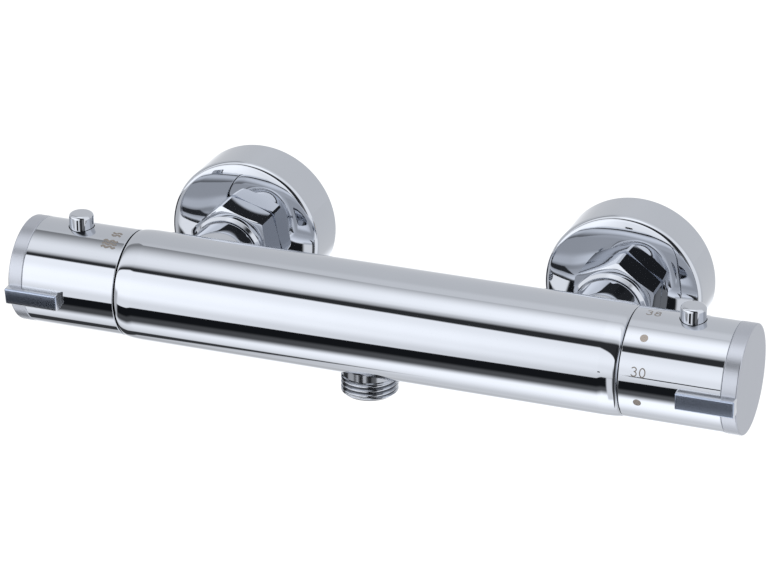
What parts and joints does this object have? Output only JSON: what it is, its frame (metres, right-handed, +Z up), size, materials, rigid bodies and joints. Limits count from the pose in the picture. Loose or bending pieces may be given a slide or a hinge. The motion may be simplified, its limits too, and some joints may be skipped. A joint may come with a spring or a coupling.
{
  "type": "thermostatic shower valve",
  "caption": "Wall-mounted bar valve that mixes hot and cold water to a set temperature, with a turning handle at either end and a threaded shower hose outlet below.",
  "frame": {"origin": "on the wall plane, midway between the two water inlets, at the height of the bar's axis", "axes": "+X along the bar towards the temperature handle, +Y into the wall, +Z up"},
  "size_m": [0.2758, 0.1099, 0.06],
  "materials": {
    "chrome": "mirror polished chrome plate",
    "satin_chrome": "satin turned chrome plate",
    "fin_chrome": "polished chrome plate on zinc",
    "brass": "turned brass",
    "copper": "drawn copper",
    "rubber": "moulded rubber",
    "steel": "stainless steel",
    "ceramic": "lapped ceramic",
    "white_plastic": "moulded acetal",
    "ivory_plastic": "moulded glass filled plastic",
    "grey_plastic": "moulded plastic"
  },
  "bodies": {
    "valve_body": {"bar_body": "chrome", "outlet_nipple": "chrome", "outlet_seal": "rubber", "hot_union_nut": "chrome", "cold_union_nut": "chrome", "hot_inlet_nipple": "brass", "cold_inlet_nipple": "brass", "hot_washer": "rubber", "cold_washer": "rubber", "hot_strainer": "steel", "cold_strainer": "steel", "hot_check_housing": "white_plastic", "cold_check_housing": "white_plastic", "hot_wall_union": "brass", "cold_wall_union": "brass", "hot_flange": "chrome", "cold_flange": "chrome", "flow_headwork": "brass", "flow_lock_nut": "brass", "flow_seals": "rubber", "flow_seat_seal": "rubber", "fixed_disc": "ceramic", "flow_stop_ring": "grey_plastic", "thermostat_housing": "ivory_plastic", "thermostat_lock_nut": "brass", "thermostat_seals": "rubber", "cold_seat": "steel", "temperature_stop_ring": "grey_plastic"},
    "flow_handle": {"flow_sleeve": "chrome", "flow_end_cap": "satin_chrome", "flow_fin": "fin_chrome", "flow_hub": "grey_plastic", "flow_screw": "steel", "flow_spindle": "brass", "flow_spindle_seal": "rubber", "moving_disc": "ceramic", "eco_spring": "steel"},
    "eco_stop_button": {"eco_button": "chrome"},
    "temperature_handle": {"temperature_sleeve": "chrome", "temperature_end_cap": "satin_chrome", "temperature_fin": "fin_chrome", "temperature_hub": "grey_plastic", "temperature_screw": "steel", "temperature_spindle": "brass", "temperature_spindle_seal": "rubber", "safety_spring": "steel"},
    "safety_stop_button": {"safety_button": "chrome"},
    "thermostat_slide": {"spool": "ivory_plastic", "spool_seal": "rubber", "wax_element": "copper", "adjusting_nut": "brass", "overtravel_spring": "steel", "piston_cap": "steel", "return_spring": "steel"},
    "hot_check_poppet": {"hot_poppet": "white_plastic", "hot_poppet_spring": "steel"},
    "cold_check_poppet": {"cold_poppet": "white_plastic", "cold_poppet_spring": "steel"}
  },
  "joints": [
    {"name": "flow_turn", "type": "hinge", "parent": "valve_body", "child": "flow_handle", "pos_m": [-0.1, -0.0728, 0], "axis": [-1, 0, 0], "range_deg": [0, 90]},
    {"name": "temperature_turn", "type": "hinge", "parent": "valve_body", "child": "temperature_handle", "pos_m": [0.1, -0.0728, 0], "axis": [1, 0, 0], "range_deg": [-164, 109]},
    {"name": "eco_press", "type": "slide", "parent": "flow_handle", "child": "eco_stop_button", "axis": [0, 0, -1], "range_m": [0, 0.0025], "stiffness_N_per_m": 600, "springref_m": -0.0025, "deforming": ["eco_spring"]},
    {"name": "safety_press", "type": "slide", "parent": "temperature_handle", "child": "safety_stop_button", "axis": [0, 0, -1], "range_m": [0, 0.0025], "stiffness_N_per_m": 600, "springref_m": -0.0025, "deforming": ["safety_spring"]},
    {"name": "thermostat_shift", "type": "slide", "parent": "valve_body", "child": "thermostat_slide", "axis": [1, 0, 0], "range_m": [-0.00068, 0.00046], "deforming": ["return_spring"]},
    {"name": "hot_check_open", "type": "slide", "parent": "valve_body", "child": "hot_check_poppet", "axis": [0, -1, 0], "range_m": [0, 0.0025], "stiffness_N_per_m": 80, "springref_m": -0.002, "deforming": ["hot_poppet_spring"]},
    {"name": "cold_check_open", "type": "slide", "parent": "valve_body", "child": "cold_check_poppet", "axis": [0, -1, 0], "range_m": [0, 0.0025], "stiffness_N_per_m": 80, "springref_m": -0.002, "deforming": ["cold_poppet_spring"]}
  ],
  "couplings": [
    {"joint": "thermostat_shift", "follows": "temperature_turn", "m_per_rad": 0.00023873}
  ]
}
